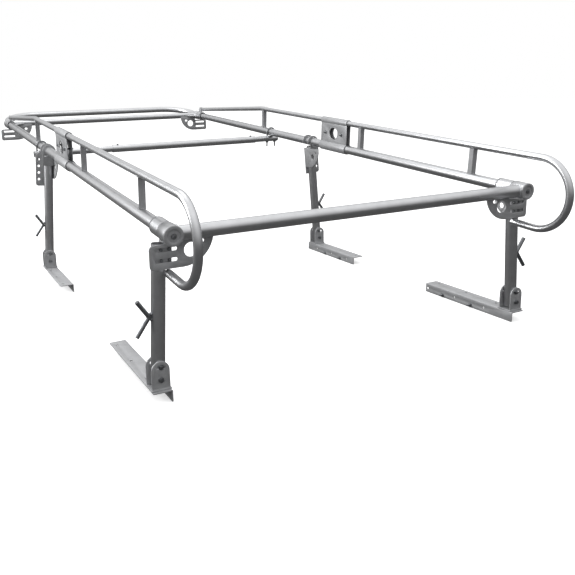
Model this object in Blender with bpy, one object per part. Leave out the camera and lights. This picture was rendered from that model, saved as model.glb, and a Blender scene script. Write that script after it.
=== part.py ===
"""Pickup ladder rack with an over-cab extension, modelled in Blender.

Two side frames, each a main rail with a smaller upper rail above it, are tied together by a rear
crossbar, a front crossbar with a bow ahead of it, and a clamped mid crossbar. Four legs carry the
frame on tilting feet that stand on the bed rails.
Metres, +Z up, +Y towards the cab, origin at the bottom centre of the bounding box.
"""

from math import asin, atan2, cos, hypot, pi, radians, sin, sqrt, tan

import bmesh
import bpy
from mathutils import Matrix, Vector

# ---------------------------------------------------------------- driving dimensions
GAP = 0.0003                  # left between pieces that touch
FIT = 0.0010                  # clearance of a shell or saddle round a rail
RAIL_X = 0.780                # half the distance between the side rails
RISE = radians(4.0)           # the rails climb towards the cab by this angle
AXLE_HEIGHT = 0.588           # rear crossbar axis above the floor

CROSSBAR_R = 0.025
FRONT_BAR_R = 0.0225
RAIL_R = 0.024
RAIL_WALL = 0.003
UPPER_R = 0.015
UPPER_HEIGHT = 0.149          # upper rail axis above the main rail axis
BOW_R = 0.0225

FRONT_BAR_Y = 3.450
BOW_Y = 3.748
BOW_RISE = 0.030              # the bow's front tube sits this much above the rails
BOW_BEND = 0.240
LOOP_Y = -0.084               # centre of the rear hand loop
STRUT_Y = (0.285, 1.120, 2.250)
UPPER_BEND_Y = 2.285
UPPER_TIP = (3.395, 0.050)    # y and z of the upper rail's front tip
JOINER_Y = {"left": 1.520, "right": 1.370}
JOINER_LENGTH = 0.260
JOINER_WEB = 0.010            # inner face of each joiner half from the rail's centre plane
MID_BAR_Y = 2.150
MID_END_R = 0.0190

SLEEVE_R = 0.0325
SLEEVE_BAND_R = 0.0345
SLEEVE_BACK = 0.030
SLEEVE_REACH = 0.115

PLATE = 0.006
LEG_R = 0.025
LEG_WALL = 0.003
PLATE_SET = PLATE / 2 + 0.0005      # a bracket's mid-plane from the crossbar's inner side
REAR_LEG_Y = 0.0635
REAR_LEG_OUT = 0.018          # rear leg axis outboard of the rail, at the crossbar's height
FRONT_LEG_Y = {"left": 1.960, "right": 1.640}

FOOT_X = 0.827                # foot pivot from the centre plane
FLANGE_T = 0.004
FLANGE_DROP = 0.040
FLANGE_WIDTH = 0.070
BED_ANGLE_LENGTH = {"rear": 0.500, "front": 0.450}
CLEVIS_T = 0.005
PIVOT_RISE = 0.034            # pivot axis above the clevis base
EAR_HEIGHT = 0.100
EAR_HALF = 0.033
PIVOT_R = 0.006

SIDES = {"left": -1, "right": 1}

FRONT_REACH = (BOW_Y + BOW_R) * cos(RISE)
REAR_REACH = (UPPER_HEIGHT - LOOP_Y + UPPER_R - 0.0035) * cos(RISE)
AXLE_Y = -(FRONT_REACH - REAR_REACH) / 2
BASE_Z = FLANGE_DROP + FLANGE_T
PIVOT_Z = BASE_Z + GAP + CLEVIS_T + PIVOT_RISE


# ---------------------------------------------------------------- scene helpers
def clear_scene():
    for obj in list(bpy.data.objects):
        bpy.data.objects.remove(obj)


def material(name, colour, roughness, metallic=1.0):
    mat = bpy.data.materials.new(name)
    mat.use_nodes = True
    shader = mat.node_tree.nodes["Principled BSDF"]
    shader.inputs["Base Color"].default_value = (*colour, 1.0)
    shader.inputs["Roughness"].default_value = roughness
    shader.inputs["Metallic"].default_value = metallic
    return mat


def add_object(name, mesh, mat, parent=None, place=None):
    """Link a mesh as one named object, in its parent's frame."""
    obj = bpy.data.objects.new(name, mesh)
    bpy.context.collection.objects.link(obj)
    if mat:
        mesh.materials.append(mat)
    obj.parent = parent
    if place is not None:
        obj.matrix_local = place
    mesh.shade_smooth()
    mesh.set_sharp_from_angle(angle=radians(35))
    return obj


def empty(name, location, rotation=(0.0, 0.0, 0.0)):
    obj = bpy.data.objects.new(name, None)
    bpy.context.collection.objects.link(obj)
    obj.location = location
    obj.rotation_euler = rotation
    return obj


def cutter(name, mesh, parent, place=None):
    obj = add_object(name, mesh, None, parent, place)
    obj.hide_render = True
    obj.display_type = "WIRE"
    return obj


def combine(target, tool, operation):
    step = target.modifiers.new(operation.lower(), "BOOLEAN")
    step.operation = operation
    step.object = tool
    step.solver = "EXACT"


def mesh_from(bm, name):
    mesh = bpy.data.meshes.new(name)
    bm.to_mesh(mesh)
    bm.free()
    return mesh


# ---------------------------------------------------------------- shape helpers
def arc(centre, radius, start, end, steps):
    """Points on an arc in a plane, from start to end in radians."""
    turns = [start + (end - start) * i / steps for i in range(steps + 1)]
    return [(centre[0] + radius * cos(t), centre[1] + radius * sin(t)) for t in turns]


def circle(centre, radius, steps=16):
    return arc(centre, radius, 0.0, 2 * pi, steps)[:-1]


def oval(centre, half_wide, half_high, steps=20):
    return [
        (centre[0] + half_wide * cos(2 * pi * i / steps), centre[1] + half_high * sin(2 * pi * i / steps))
        for i in range(steps)
    ]


def slot(centre, length, height, steps=5):
    """A horizontal slot with round ends."""
    reach = (length - height) / 2
    right = arc((centre[0] + reach, centre[1]), height / 2, -pi / 2, pi / 2, steps)
    left = arc((centre[0] - reach, centre[1]), height / 2, pi / 2, 3 * pi / 2, steps)
    return right + left


def curved_slot(centre, radius, height, middle, spread, steps=8):
    """A slot that follows an arc about a pivot."""
    start, end = middle - spread, middle + spread
    outer = arc(centre, radius + height / 2, start, end, steps)
    inner = arc(centre, radius - height / 2, end, start, steps)
    return outer + inner


def to_mesh(curve, name):
    """The mesh of a curve, with its seams merged."""
    holder = bpy.data.objects.new(name + "_curve", curve)
    bpy.context.collection.objects.link(holder)
    mesh = bpy.data.meshes.new_from_object(holder)
    bpy.data.objects.remove(holder)
    bm = bmesh.new()
    bm.from_mesh(mesh)
    bmesh.ops.remove_doubles(bm, verts=bm.verts, dist=0.00001)
    bmesh.ops.recalc_face_normals(bm, faces=bm.faces)
    return mesh_from(bm, name)


def add_spline(curve, points, cyclic):
    spline = curve.splines.new("POLY")
    spline.points.add(len(points) - 1)
    for point, place in zip(spline.points, points):
        point.co = (*place, 1.0)
    spline.use_cyclic_u = cyclic


def plate(name, outline, holes, thickness):
    """A flat plate in the XY plane, centred on it, with its holes cut through."""
    curve = bpy.data.curves.new(name, "CURVE")
    curve.dimensions = "2D"
    curve.fill_mode = "BOTH"
    curve.extrude = thickness / 2
    for loop in [outline, *holes]:
        add_spline(curve, [(x, y, 0.0) for x, y in loop], True)
    return to_mesh(curve, name)


def rod(name, path, radius, sides=12):
    """A solid round bar along a path."""
    curve = bpy.data.curves.new(name, "CURVE")
    curve.dimensions = "3D"
    curve.bevel_depth = radius
    curve.bevel_resolution = (sides - 4) // 2
    curve.use_fill_caps = True
    add_spline(curve, path, False)
    return to_mesh(curve, name)


def pipe(name, path, radius, wall, sides=16):
    """A hollow tube along a path, open at both ends."""
    curve = bpy.data.curves.new(name, "CURVE")
    curve.dimensions = "3D"
    curve.bevel_depth = radius
    curve.bevel_resolution = (sides - 4) // 2
    add_spline(curve, path, False)
    bm = bmesh.new()
    bm.from_mesh(to_mesh(curve, name))
    bmesh.ops.recalc_face_normals(bm, faces=bm.faces)
    middle = sum((Vector(p) for p in path[:2]), Vector()) / 2
    face = min(bm.faces, key=lambda f: (f.calc_center_median() - middle).length)
    if face.normal.dot(face.calc_center_median() - middle) < 0:
        bmesh.ops.reverse_faces(bm, faces=bm.faces)
    bmesh.ops.solidify(bm, geom=bm.faces, thickness=wall)
    return mesh_from(bm, name)


def bend(path, radius, steps=6):
    """A path of straight runs, with each inner corner rounded to the given radius."""
    points = [Vector(p) for p in path]
    rounded = [points[0]]
    for before, corner, after in zip(points, points[1:], points[2:]):
        back = (before - corner).normalized()
        ahead = (after - corner).normalized()
        half = back.angle(ahead) / 2
        centre = corner + (back + ahead).normalized() * radius / sin(half)
        start = corner + back * radius / tan(half) - centre
        end = corner + ahead * radius / tan(half) - centre
        swing = start.angle(end)
        for i in range(steps + 1):
            share = i / steps
            mix = start * sin((1 - share) * swing) + end * sin(share * swing)
            rounded.append(centre + mix / sin(swing))
    return rounded + [points[-1]]


XZ = Matrix.Rotation(pi / 2, 4, "X")                                  # plate y becomes z
YZ = Matrix.Rotation(pi / 2, 4, "Z") @ Matrix.Rotation(pi / 2, 4, "X")  # plate x becomes y


def at(x, y, z, turn=None):
    place = Matrix.Translation((x, y, z))
    return place @ turn if turn is not None else place


# ---------------------------------------------------------------- frames of reference
def rack_point(x, y, z):
    """World coordinates of a point given in the sloping rack's own frame."""
    return Vector((x, AXLE_Y + y * cos(RISE) - z * sin(RISE), AXLE_HEIGHT + y * sin(RISE) + z * cos(RISE)))


def leg_frame(name, side, top):
    """An empty at the top of a leg, turned so that its -Z points at the foot pivot."""
    lean = atan2(side * FOOT_X - top[0], top[2] - PIVOT_Z)
    return empty(name, top, (0.0, -lean, 0.0))


def leg_length(side, top):
    return hypot(side * FOOT_X - top[0], top[2] - PIVOT_Z)


# ---------------------------------------------------------------- top frame
def build_crossbar(name, y, radius, rack, metal):
    """A tube between two corner sleeves, its ends coped to their round sides."""
    reach = RAIL_X - 0.012
    bar = add_object(name, pipe(name, [(-reach, y, 0), (reach, y, 0)], radius, 0.003), metal, rack)
    for side in SIDES.values():
        path = [(side * RAIL_X, y - 0.2, 0), (side * RAIL_X, y + 0.2, 0)]
        tool = cutter(f"{name}_cope", rod("cope", path, SLEEVE_BAND_R + GAP, 24), rack)
        combine(bar, tool, "DIFFERENCE")


def build_sleeve(name, side, y, ahead, bar_r, rack, metal):
    """A corner sleeve on the rail's line, with a wider band at the crossbar and a corner web."""
    x = side * RAIL_X
    body = [(x, y - ahead * SLEEVE_BACK, 0), (x, y + ahead * SLEEVE_REACH, 0)]
    band = [(x, y - 0.027, 0), (x, y + 0.027, 0)]
    sleeve = add_object(name, rod(name, body, SLEEVE_R, 20), metal, rack)
    combine(sleeve, cutter(name + "_band", rod("band", band, SLEEVE_BAND_R, 20), rack), "UNION")
    near = bar_r + 0.001
    web = [(-SLEEVE_R + 0.004, near), (-SLEEVE_R + 0.004, 0.105), (-0.110, near + 0.004), (-0.110, near)]
    outline = [(side * u, ahead * v) for u, v in web]
    web_mesh = plate("web", outline, [], 0.005)
    combine(sleeve, cutter(name + "_web", web_mesh, rack, at(x, y, 0)), "UNION")
    bore = [(x, y - 0.2, 0), (x, y + 0.2, 0)]
    combine(sleeve, cutter(name + "_bore", rod("bore", bore, RAIL_R + GAP, 16), rack), "DIFFERENCE")


def build_end_cap(name, side, rack, metal):
    """A round plug that closes the rear end of a sleeve, with a bolt head in its middle."""
    bm = bmesh.new()
    profile = [
        (0.0, 0.0000), (0.0050, 0.0000), (0.0050, 0.0030), (0.0310, 0.0030), (0.0345, 0.0050),
        (0.0345, 0.0075), (0.0235, 0.0078), (0.0235, 0.0180), (0.0, 0.0180),
    ]
    verts = [bm.verts.new((r, 0.0, -h)) for r, h in profile]
    edges = [bm.edges.new(pair) for pair in zip(verts, verts[1:])]
    bmesh.ops.spin(
        bm, geom=verts + edges, cent=(0, 0, 0), axis=(0, 0, 1), angle=2 * pi, steps=20, use_merge=True
    )
    bmesh.ops.remove_doubles(bm, verts=bm.verts, dist=0.00001)
    bmesh.ops.recalc_face_normals(bm, faces=bm.faces)
    face_out = Matrix.Rotation(pi / 2, 4, "X")
    y = -SLEEVE_BACK - 0.0078
    add_object(name, mesh_from(bm, name), metal, rack, at(side * RAIL_X, y, 0, face_out))


def bracket_outline(side):
    """Outline of a corner bracket: u runs outboard from the rail, v upwards from the crossbar axis."""
    top, low, outer, inner = -0.007, -0.122, 0.066, -0.165
    shelf = -(SLEEVE_BAND_R + 0.0045)
    corner = 0.014
    points = [(inner, top), (-0.038, top), (-0.036, shelf), (outer - corner, shelf)]
    points += arc((outer - corner, shelf - corner), corner, pi / 2, 0, 4)[1:]
    points += arc((outer - corner, low + corner), corner, 0, -pi / 2, 4)
    sweep = low - top
    points += arc((inner - sweep, top), -sweep, -pi / 2, -pi, 8)[:-1]
    return [(side * u, v) for u, v in points]


def build_corner_bracket(name, side, y, bar_r, inward, metal):
    """The upright plate on a crossbar's inner side, with two slots for the leg's bolts."""
    holes = [
        slot((side * 0.008, -0.056), 0.080, 0.013),
        slot((side * 0.008, -0.092), 0.080, 0.013),
        circle((side * -0.080, -0.066), 0.025, 20),
        oval((side * -0.118, -0.041), 0.011, 0.008, 12),
    ]
    mesh = plate(name, bracket_outline(side), holes, PLATE)
    axis = rack_point(side * RAIL_X, y, 0)
    place = Matrix.Translation(axis + Vector((0, inward * (bar_r + PLATE_SET), 0))) @ XZ
    add_object(name, mesh, metal, None, place)


def build_rails(hand, rack, metal):
    """The main rail of one side, in two lengths that meet inside the joiner."""
    x = SIDES[hand] * RAIL_X
    split = JOINER_Y[hand]
    spans = {"rear": (-0.012, split - GAP), "front": (split + GAP, FRONT_BAR_Y + 0.012)}
    for end, (start, stop) in spans.items():
        name = f"side_rail_{end}_{hand}"
        add_object(name, pipe(name, [(x, start, 0), (x, stop, 0)], RAIL_R, RAIL_WALL), metal, rack)


def build_upper_rails(hand, rack, metal):
    """The smaller upper rail: a hand loop at the back, a down-swept tip at the front."""
    x = SIDES[hand] * RAIL_X
    split = JOINER_Y[hand]
    drop = UPPER_HEIGHT - 0.0035
    loop = arc((LOOP_Y, UPPER_HEIGHT - drop), drop, pi / 2, 3 * pi / 2, 12)
    low = loop[-1][1]
    rear = [(x, split - GAP, UPPER_HEIGHT)]
    rear += [(x, y, z) for y, z in loop]
    rear += [(x, LOOP_Y + 0.045, low + 0.0005), (x, 0.0265, low + 0.001)]
    add_object(f"upper_rail_rear_{hand}", pipe("upper_rear", rear, UPPER_R, 0.0025, 12), metal, rack)
    front = bend(
        [(x, split + GAP, UPPER_HEIGHT), (x, UPPER_BEND_Y, UPPER_HEIGHT), (x, *UPPER_TIP)], 0.25, 4
    )
    add_object(f"upper_rail_front_{hand}", pipe("upper_front", front, UPPER_R, 0.0025, 12), metal, rack)


def build_struts(hand, rack, metal):
    """Three angle-section uprights between the main rail and the upper rail."""
    x = SIDES[hand] * RAIL_X
    side = SIDES[hand]
    leg, wall = 0.026, 0.004
    outline = [(-leg / 2, -leg / 2), (leg / 2, -leg / 2), (leg / 2, -leg / 2 + wall)]
    outline += [(-leg / 2 + wall, -leg / 2 + wall), (-leg / 2 + wall, leg / 2), (-leg / 2, leg / 2)]
    outline = [(side * u, v) for u, v in outline]
    low, high = RAIL_R + GAP, UPPER_HEIGHT - UPPER_R - GAP
    for number, y in enumerate(STRUT_Y, 1):
        mesh = plate("strut", outline, [], high - low)
        add_object(f"strut_{number}_{hand}", mesh, metal, rack, at(x, y, (low + high) / 2))


def joiner_profile(side, face):
    """Section of one joiner half in X and Z: a web with a half-round trough at each end.

    face is 1 for the outboard half and -1 for the inboard half.
    """
    wall, web = 0.004, JOINER_WEB
    rail, upper = RAIL_R + FIT, UPPER_R + FIT
    low_turn, high_turn = asin(web / rail), asin(web / upper)
    inner = arc((0, 0), rail, radians(-82), pi / 2 - low_turn, 9)
    inner += arc((0, UPPER_HEIGHT), upper, -pi / 2 + high_turn, radians(82), 9)
    low_out, high_out = asin((web + wall) / (rail + wall)), asin((web + wall) / (upper + wall))
    outer = arc((0, UPPER_HEIGHT), upper + wall, radians(82), -pi / 2 + high_out, 9)
    outer += arc((0, 0), rail + wall, pi / 2 - low_out, radians(-82), 9)
    return [(face * side * u, v) for u, v in inner + outer]


def build_joiners(hand, rack, metal):
    """Two pressed half shells, bolted to each other through their webs, around both rails."""
    side = SIDES[hand]
    x, y = side * RAIL_X, JOINER_Y[hand]
    middle = (RAIL_R + UPPER_HEIGHT - UPPER_R) / 2
    for half, face in (("inner", -1), ("outer", 1)):
        name = f"joiner_{half}_{hand}"
        mesh = plate(name, joiner_profile(side, face), [], JOINER_LENGTH)
        shell = add_object(name, mesh, metal, rack, at(x, y, 0, XZ))
        holes = [
            oval((0, middle), 0.042, 0.034, 20),
            circle((-0.080, middle), 0.0055, 10),
            circle((0.080, middle), 0.0055, 10),
        ]
        for number, hole in enumerate(holes):
            tool = cutter(f"{name}_hole_{number}", plate("hole", hole, [], 0.1), rack, at(x, y, 0, YZ))
            combine(shell, tool, "DIFFERENCE")


def build_bow(rack, metal):
    """The bent tube ahead of the front crossbar, its tails inside the front sleeves."""
    start = FRONT_BAR_Y + 0.013
    kink = FRONT_BAR_Y + SLEEVE_BACK + 0.012
    corner = [(-RAIL_X, kink, 0), (-RAIL_X, BOW_Y, BOW_RISE), (RAIL_X, BOW_Y, BOW_RISE), (RAIL_X, kink, 0)]
    path = [Vector((-RAIL_X, start, 0))] + bend(corner, BOW_BEND, 6) + [Vector((RAIL_X, start, 0))]
    add_object("front_bow", pipe("front_bow", path, BOW_R, 0.003, 16), metal, rack)


def build_mid_bar(rack, metal, zinc):
    """The telescoping mid crossbar: a wide tube over two thinner ends, hung under the rails."""
    y, z = MID_BAR_Y, -(RAIL_R + MID_END_R + FIT)
    wide = {"left": -0.350, "right": 0.655}
    bar = [(wide["left"], y, z), (wide["right"], y, z)]
    add_object("mid_crossbar", pipe("mid_crossbar", bar, MID_END_R + 0.0035, 0.003), metal, rack)
    leg_x = RAIL_R + FIT + 0.0045
    for hand, side in SIDES.items():
        x = side * RAIL_X
        name = f"mid_crossbar_end_{hand}"
        path = [(wide[hand] - side * 0.120, y, z), (x + side * 0.048, y, z)]
        end = add_object(name, pipe(name, path, MID_END_R, 0.003), metal, rack)
        for number, shift in enumerate((-leg_x, leg_x)):
            bore = rod("bore", [(x + shift, y, z - 0.05), (x + shift, y, z + 0.05)], 0.0045 + GAP, 8)
            combine(end, cutter(f"{name}_bore_{number}", bore, rack), "DIFFERENCE")
        tail = -0.098
        hoop = [(-leg_x, y, tail), (-leg_x, y, 0)]
        hoop += [(u, y, v) for u, v in arc((0, 0), leg_x, pi, 0, 8)[1:]]
        hoop += [(leg_x, y, tail)]
        add_object(f"mid_u_bolt_{hand}", rod("u_bolt", hoop, 0.0045, 8), zinc, rack, at(x, 0, 0))


# ---------------------------------------------------------------- legs and feet
def build_leg(name, side, top, start, metal, zinc):
    """A leg tube with the cross hole for its foot pivot, and the tie-down hook on its outer side."""
    frame = leg_frame(name + "_frame", side, top)
    length = leg_length(side, top)
    path = [(0, 0, -start), (0, 0, -(length + 0.022))]
    leg = add_object(f"{name}_leg", pipe(name, path, LEG_R, LEG_WALL), metal, frame)
    bore = rod("bore", [(0, -0.05, -length), (0, 0.05, -length)], PIVOT_R + GAP, 12)
    combine(leg, cutter(f"{name}_leg_bore", bore, frame), "DIFFERENCE")
    hook_z = -(length - 0.216)
    rod_r = 0.008
    root = side * (LEG_R + GAP + rod_r)
    tip = side * (LEG_R + 0.050)
    path = [(tip, 0, hook_z + 0.056), (root, 0, hook_z + 0.004), (root, 0, hook_z - 0.004)]
    path.append((tip, 0, hook_z - 0.068))
    add_object(f"{name}_tie_hook", rod("hook", path, rod_r, 8), zinc, frame)
    return frame


def build_rear_leg_head(name, side, frame, metal):
    """The rear leg's head: a plate that bolts to the corner bracket, and a quarter-round gusset."""
    back = -(LEG_R + 0.0005 + PLATE / 2)
    high, low = -0.040, -0.120
    face = [(-0.036, low), (0.034, low), (0.034, high), (-0.036, high)]
    head = plate(name, [(side * u, v) for u, v in face], [], PLATE)
    head_obj = add_object(name, head, metal, frame, at(0, back, 0, XZ))
    start, crest = back + 0.001, high - 0.001
    outline = [(start, crest), (0.068, crest)]
    outline += arc((-0.010, crest), 0.078, 0, radians(-76), 8)[1:]
    outline += [(start, crest - 0.078)]
    holes = [circle((0.030, -0.075), 0.012, 14), circle((0.050, -0.056), 0.005, 10)]
    inboard = -side * (LEG_R + 0.0008 + 0.0025)
    tool = cutter(name + "_gusset", plate("gusset", outline, holes, 0.005), frame, at(inboard, 0, 0, YZ))
    combine(head_obj, tool, "UNION")


def build_front_leg_bracket(name, side, frame, metal):
    """The front leg's hanger: a perforated strap hooked over the rail, and a gusset behind it."""
    ahead = LEG_R + 0.0005 + PLATE / 2
    centre = (0, ahead * tan(RISE))
    rail = RAIL_R + FIT
    rim = rail + 0.012
    low = -0.205
    outline = arc(centre, rail, radians(200), radians(-24), 14)
    outline += [(rail + 0.001, -0.040), (-0.031, -0.040), (-0.031, low)]
    outline += arc((0.052, low + 0.014), 0.014, -pi / 2, 0, 4)
    outline += [(0.066, -0.030)]
    outline += arc(centre, rim, radians(-10), radians(200), 14)
    holes = [circle((0.049, -0.052 - 0.038 * i), 0.007, 10) for i in range(4)]
    outline = [(side * u, v) for u, v in outline]
    holes = [[(side * u, v) for u, v in hole] for hole in holes]
    hanger = plate(name, outline, holes, PLATE)
    hanger_obj = add_object(name, hanger, metal, frame, at(0, ahead, 0, XZ))
    crest = -0.041
    outline = [(ahead, crest), (-0.130, crest)]
    outline += arc((-0.010, crest), 0.120, pi, radians(268), 9)[1:]
    outline += [(ahead, crest - 0.120)]
    holes = [circle((-0.062, crest - 0.050), 0.016, 14), circle((-0.100, crest - 0.024), 0.007, 10)]
    inboard = -side * (LEG_R + 0.0008 + 0.0025)
    tool = cutter(name + "_gusset", plate("gusset", outline, holes, 0.005), frame, at(inboard, 0, 0, YZ))
    combine(hanger_obj, tool, "UNION")


def build_foot(name, side, y, reach, metal, zinc):
    """A two-eared clevis on an angle that lies along the bed rail, with its pivot bolt."""
    x = side * FOOT_X
    base_z = BASE_Z + GAP
    ear_gap = LEG_R + 0.0012
    ear_y = ear_gap + CLEVIS_T / 2
    pivot = CLEVIS_T + PIVOT_RISE
    crown = CLEVIS_T + EAR_HEIGHT - EAR_HALF
    outline = [(-EAR_HALF, 0.001), (EAR_HALF, 0.001)] + arc((0, crown), EAR_HALF, 0, pi, 12)
    holes = [
        circle((0, pivot), PIVOT_R + GAP, 12),
        curved_slot((0, pivot), 0.045, 0.011, pi / 2, radians(20), 6),
    ]
    wide, deep = EAR_HALF + 0.004, ear_gap + CLEVIS_T + 0.003
    floor = [(-wide, -deep), (wide, -deep), (wide, deep), (-wide, deep)]
    base = plate(name, floor, [], CLEVIS_T)
    clevis = add_object(f"{name}_clevis", base, metal, None, at(x, y, base_z + CLEVIS_T / 2))
    for number, place in enumerate((-ear_y, ear_y)):
        ear = plate("ear", outline, holes, CLEVIS_T)
        tool = cutter(f"{name}_ear_{number}", ear, None, at(x, y + place, base_z, XZ))
        combine(clevis, tool, "UNION")
    build_bed_angle(name, side, y, reach, metal)
    build_pivot_bolt(name, x, y, base_z + pivot, ear_gap + CLEVIS_T, zinc)


def build_bed_angle(name, side, y, reach, metal):
    """The angle along the bed rail: a flat top flange and an inner flange that hangs down."""
    behind = 0.045
    length = abs(reach) + behind
    centre = y + (reach - behind if reach > 0 else reach + behind) / 2
    inner = side * (FOOT_X - 0.036)
    section = [(0, 0), (0, -FLANGE_T - FLANGE_DROP), (FLANGE_T, -FLANGE_T - FLANGE_DROP)]
    section += [(FLANGE_T, -FLANGE_T), (FLANGE_WIDTH, -FLANGE_T), (FLANGE_WIDTH, 0)]
    mesh = plate(name, [(side * u, v) for u, v in section], [], length)
    angle = add_object(f"{name}_bed_angle", mesh, metal, None, at(inner, centre, BASE_Z, XZ))
    spread = length - 0.045 - 0.100
    middle = centre + (0.045 if reach > 0 else -0.045)
    for number, share in enumerate((-0.46, 0.0, 0.46)):
        where = middle + spread * share
        top = plate("top_hole", circle((0, 0), 0.006, 10), [], 0.03)
        place = at(inner + side * 0.048, where, BASE_Z)
        combine(angle, cutter(f"{name}_top_hole_{number}", top, None, place), "DIFFERENCE")
        low = plate("side_hole", circle((0, 0), 0.006, 10), [], 0.03)
        place = at(inner, where + 0.030, BASE_Z - 0.024, YZ)
        combine(angle, cutter(f"{name}_side_hole_{number}", low, None, place), "DIFFERENCE")


def build_pivot_bolt(name, x, y, z, reach, zinc):
    """The bolt through both ears and the leg, with its head and nut."""
    head, shank = 0.010, PIVOT_R
    half = reach + GAP
    profile = [(0, -half - 0.008), (head, -half - 0.008), (head, -half), (shank, -half)]
    profile += [(shank, half), (head, half), (head, half + 0.008), (0, half + 0.008)]
    bm = bmesh.new()
    verts = [bm.verts.new((r, 0, h)) for r, h in profile]
    edges = [bm.edges.new(pair) for pair in zip(verts, verts[1:])]
    bmesh.ops.spin(
        bm, geom=verts + edges, cent=(0, 0, 0), axis=(0, 0, 1), angle=2 * pi, steps=12, use_merge=True
    )
    bmesh.ops.remove_doubles(bm, verts=bm.verts, dist=0.00001)
    bmesh.ops.recalc_face_normals(bm, faces=bm.faces)
    add_object(f"{name}_pivot_bolt", mesh_from(bm, name), zinc, None, at(x, y, z, XZ))


# ---------------------------------------------------------------- assembly
def build():
    clear_scene()
    metal = material("satin_aluminium", (0.52, 0.53, 0.54), 0.38)
    steel = material("coated_steel_plate", (0.44, 0.45, 0.46), 0.45)
    zinc = material("zinc_plated_steel", (0.40, 0.41, 0.42), 0.42)
    rubber = material("moulded_cap", (0.22, 0.22, 0.23), 0.60, 0.0)
    rack = empty("rack_frame", (0, AXLE_Y, AXLE_HEIGHT), (RISE, 0, 0))

    build_crossbar("rear_crossbar", 0.0, CROSSBAR_R, rack, metal)
    build_crossbar("front_crossbar", FRONT_BAR_Y, FRONT_BAR_R, rack, metal)
    build_bow(rack, metal)
    build_mid_bar(rack, metal, zinc)
    for hand, side in SIDES.items():
        build_sleeve(f"corner_sleeve_rear_{hand}", side, 0.0, 1, CROSSBAR_R, rack, metal)
        build_sleeve(f"corner_sleeve_front_{hand}", side, FRONT_BAR_Y, -1, FRONT_BAR_R, rack, metal)
        build_end_cap(f"rear_end_cap_{hand}", side, rack, rubber)
        build_corner_bracket(f"corner_bracket_rear_{hand}", side, 0.0, CROSSBAR_R, 1, steel)
        build_corner_bracket(f"corner_bracket_front_{hand}", side, FRONT_BAR_Y, FRONT_BAR_R, -1, steel)
        build_rails(hand, rack, metal)
        build_upper_rails(hand, rack, metal)
        build_struts(hand, rack, steel)
        build_joiners(hand, rack, steel)

        name = f"rear_{hand}"
        top = Vector((side * (RAIL_X + REAR_LEG_OUT), AXLE_Y + REAR_LEG_Y, AXLE_HEIGHT))
        frame = build_leg(name, side, top, 0.040, metal, zinc)
        build_rear_leg_head(f"{name}_leg_head", side, frame, steel)
        build_foot(name, side, top[1], BED_ANGLE_LENGTH["rear"], steel, zinc)

        name = f"front_{hand}"
        top = rack_point(side * RAIL_X, FRONT_LEG_Y[hand], 0)
        frame = build_leg(name, side, top, 0.029, metal, zinc)
        build_front_leg_bracket(f"{name}_leg_bracket", side, frame, steel)
        build_foot(name, side, top[1], -BED_ANGLE_LENGTH["front"], steel, zinc)


build()
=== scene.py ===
"""A pickup ladder rack with an over-cab bow, adjustable legs and tilting bed-rail feet."""

from math import asin, atan2, cos, hypot, pi, radians, sin, sqrt, tan

import bmesh
import bpy
from mathutils import Matrix, Vector


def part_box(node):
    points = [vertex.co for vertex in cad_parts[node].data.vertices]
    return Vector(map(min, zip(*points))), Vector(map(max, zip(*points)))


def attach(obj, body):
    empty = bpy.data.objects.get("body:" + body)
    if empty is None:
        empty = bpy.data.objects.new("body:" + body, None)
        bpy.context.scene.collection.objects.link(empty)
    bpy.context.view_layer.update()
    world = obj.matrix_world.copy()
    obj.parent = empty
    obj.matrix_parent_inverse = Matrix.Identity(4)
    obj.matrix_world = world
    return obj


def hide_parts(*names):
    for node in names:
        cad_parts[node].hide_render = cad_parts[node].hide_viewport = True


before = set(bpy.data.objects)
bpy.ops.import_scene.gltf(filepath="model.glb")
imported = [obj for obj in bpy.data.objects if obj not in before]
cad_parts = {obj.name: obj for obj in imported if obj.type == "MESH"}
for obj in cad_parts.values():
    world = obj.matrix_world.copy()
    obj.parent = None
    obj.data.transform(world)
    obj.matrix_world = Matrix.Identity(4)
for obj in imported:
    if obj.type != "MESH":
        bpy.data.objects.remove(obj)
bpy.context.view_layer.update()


# ---- Camera, floor and light -------------------------------------------------------------------
# A pale studio sweep. The camera stands behind the left rear corner, a little above the rack, and
# its place is written in the rack's own frame, which climbs towards the cab.
RISE = radians(4.0)
bar_low, bar_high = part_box("rear_crossbar")
RACK = Matrix.Translation((0, (bar_low[1] + bar_high[1]) / 2, (bar_low[2] + bar_high[2]) / 2))
RACK @= Matrix.Rotation(RISE, 4, "X")

camera = bpy.data.objects.new("camera", bpy.data.cameras.new("camera"))
bpy.context.scene.collection.objects.link(camera)
camera.data.sensor_width = 36
camera.data.lens = 42.2
camera.data.shift_x = 0.100
camera.data.shift_y = -0.0826
aim = Matrix.Rotation(radians(-25.67), 4, "Z") @ Matrix.Rotation(radians(90 - 16.2), 4, "X")
camera.matrix_world = RACK @ Matrix.Translation((-1.508, -1.957, 0.584)) @ aim
bpy.context.scene.camera = camera


def linear(code, alpha=1.0):
    """A linear colour from an sRGB hex code."""
    parts = [int(code[i : i + 2], 16) / 255 for i in (1, 3, 5)]
    return (*[p / 12.92 if p <= 0.04045 else ((p + 0.055) / 1.055) ** 2.4 for p in parts], alpha)


floor_mesh = bpy.data.meshes.new("studio_floor")
floor_bm = bmesh.new()
bmesh.ops.create_grid(floor_bm, x_segments=1, y_segments=1, size=30)
floor_bm.to_mesh(floor_mesh)
floor_bm.free()
studio_floor = bpy.data.objects.new("studio_floor", floor_mesh)
bpy.context.scene.collection.objects.link(studio_floor)


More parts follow.
